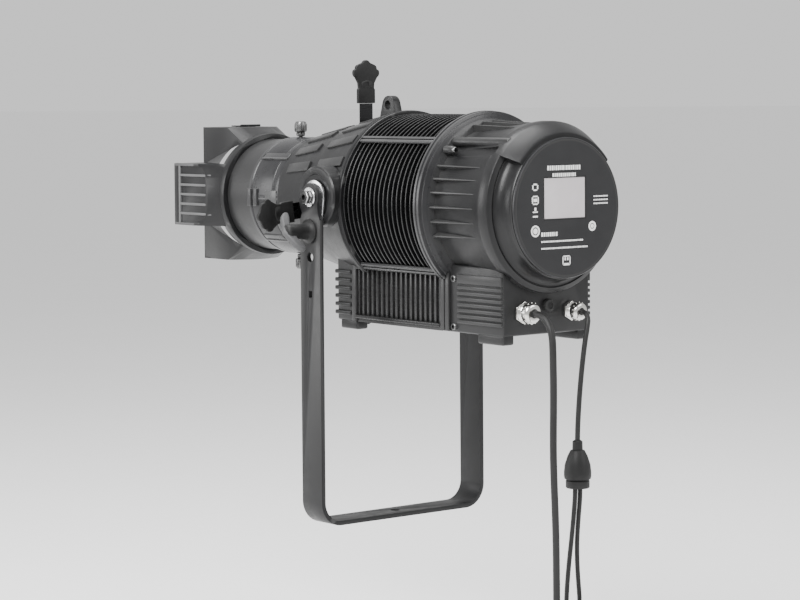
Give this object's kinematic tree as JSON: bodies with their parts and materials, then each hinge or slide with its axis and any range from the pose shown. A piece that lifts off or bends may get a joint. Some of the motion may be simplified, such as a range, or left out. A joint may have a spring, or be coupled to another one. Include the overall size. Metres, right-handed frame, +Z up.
{
  "type": "LED profile spot",
  "caption": "Theatre profile spot: finned LED body, touch display, framing shutters, sliding lens tube and four-armed frame holder on a tilting strap yoke.",
  "frame": {"origin": "centre of the yoke's underside, on the clamp bolt's axis", "axes": "+Z up, beam towards -Y, display towards +Y, tilt axis along X"},
  "size_m": [0.372, 0.7964, 0.838],
  "materials": {
    "strap_paint": "satin black powder coat",
    "bolt_steel": "zinc plated",
    "moulded_black": "fine moulded texture",
    "cast_paint": "satin black powder coat on die casting",
    "fin_anodised": "black anodised",
    "panel_film": "satin black printed film",
    "screen_glass": "grey touch screen",
    "circuit_board": "solder mask",
    "bare_aluminium": "bare",
    "optical_glass": "clear",
    "blade_steel": "stainless",
    "nickel": "nickel plated brass",
    "cord_sheath": "matt black rubber"
  },
  "bodies": {
    "yoke": {"yoke_strap": "strap_paint", "pivot_bolt_left": "bolt_steel", "pivot_bolt_right": "bolt_steel", "clamp_plate_left": "bolt_steel", "clamp_plate_right": "bolt_steel", "power_cord": "cord_sheath", "power_coil": "cord_sheath", "power_plug": "moulded_black", "signal_cord": "cord_sheath", "y_splitter": "moulded_black", "branch_cord_in": "cord_sheath", "branch_cord_out": "cord_sheath", "branch_connector_in": "moulded_black", "branch_connector_out": "moulded_black"},
    "lock_left": {"lock_handle_left": "moulded_black"},
    "lock_right": {"lock_handle_right": "moulded_black"},
    "shutter_top": {"shutter_blade_top": "blade_steel", "shutter_grip_top": "moulded_black"},
    "shutter_bottom": {"shutter_blade_bottom": "blade_steel", "shutter_grip_bottom": "moulded_black"},
    "shutter_left": {"shutter_blade_left": "blade_steel", "shutter_grip_left": "moulded_black"},
    "shutter_right": {"shutter_blade_right": "blade_steel", "shutter_grip_right": "moulded_black"},
    "focus": {"focus_tube": "cast_paint", "front_lens": "optical_glass", "rear_lens": "optical_glass", "lens_retainer": "moulded_black", "accessory_holder": "cast_paint"},
    "knob_top": {"focus_knob_top": "moulded_black"},
    "knob_bottom": {"focus_knob_bottom": "moulded_black"},
    "frame_clip": {"frame_clip": "blade_steel"},
    "head": {"rear_housing": "cast_paint", "rear_ring": "cast_paint", "front_housing": "cast_paint", "barrel_shell_upper": "cast_paint", "barrel_shell_lower": "cast_paint", "bottom_plate": "cast_paint", "tie_bar_1": "cast_paint", "tie_bar_2": "cast_paint", "tie_bar_3": "cast_paint", "tie_bar_4": "cast_paint", "fin_stack": "fin_anodised", "side_panel_left": "fin_anodised", "side_panel_right": "fin_anodised", "display_panel": "panel_film", "touch_screen": "screen_glass", "control_board": "circuit_board", "led_board": "circuit_board", "heat_spreader": "bare_aluminium", "light_tube": "bare_aluminium", "driver_module": "bare_aluminium", "gate_plate": "bare_aluminium", "condenser_lens": "optical_glass", "vent_plug": "moulded_black", "gland_body_power": "nickel", "gland_body_signal": "nickel", "gland_nut_power": "nickel", "gland_nut_signal": "nickel"}
  },
  "joints": [
    {"name": "head_tilt", "type": "hinge", "parent": "yoke", "child": "head", "pos_m": [0, 0, 0.434], "axis": [-1, 0, 0], "range_deg": [-20, 90], "deforming": ["power_cord", "signal_cord"]},
    {"name": "lock_turn_left", "type": "hinge", "parent": "yoke", "child": "lock_left", "pos_m": [0.139, 0, 0.389], "axis": [1, 0, 0], "range_deg": [-60, 60]},
    {"name": "lock_turn_right", "type": "hinge", "parent": "yoke", "child": "lock_right", "pos_m": [-0.139, 0, 0.389], "axis": [-1, 0, 0], "range_deg": [-60, 60]},
    {"name": "shutter_slide_top", "type": "slide", "parent": "head", "child": "shutter_top", "axis": [0, 0, -1], "range_m": [-0.01, 0.025]},
    {"name": "shutter_slide_bottom", "type": "slide", "parent": "head", "child": "shutter_bottom", "axis": [0, 0, 1], "range_m": [-0.026, 0.009]},
    {"name": "shutter_slide_left", "type": "slide", "parent": "head", "child": "shutter_left", "axis": [-0.9945, 0, 0.1045], "range_m": [-0.013, 0.022]},
    {"name": "shutter_slide_right", "type": "slide", "parent": "head", "child": "shutter_right", "axis": [1, 0, 0], "range_m": [-0.01, 0.025]},
    {"name": "focus_slide", "type": "slide", "parent": "head", "child": "focus", "axis": [0, 1, 0], "range_m": [-0.006, 0.038]},
    {"name": "knob_turn_top", "type": "hinge", "parent": "focus", "child": "knob_top", "pos_m": [0, -0.208, 0.508], "axis": [0, 0, 1], "range_deg": [-180, 180]},
    {"name": "knob_turn_bottom", "type": "hinge", "parent": "focus", "child": "knob_bottom", "pos_m": [0, -0.208, 0.344], "axis": [0, 0, -1], "range_deg": [-180, 180]},
    {"name": "frame_clip_lift", "type": "hinge", "parent": "focus", "child": "frame_clip", "pos_m": [-0.022, -0.3635, 0.5228], "axis": [-1, 0, 0], "range_deg": [0, 80]}
  ]
}
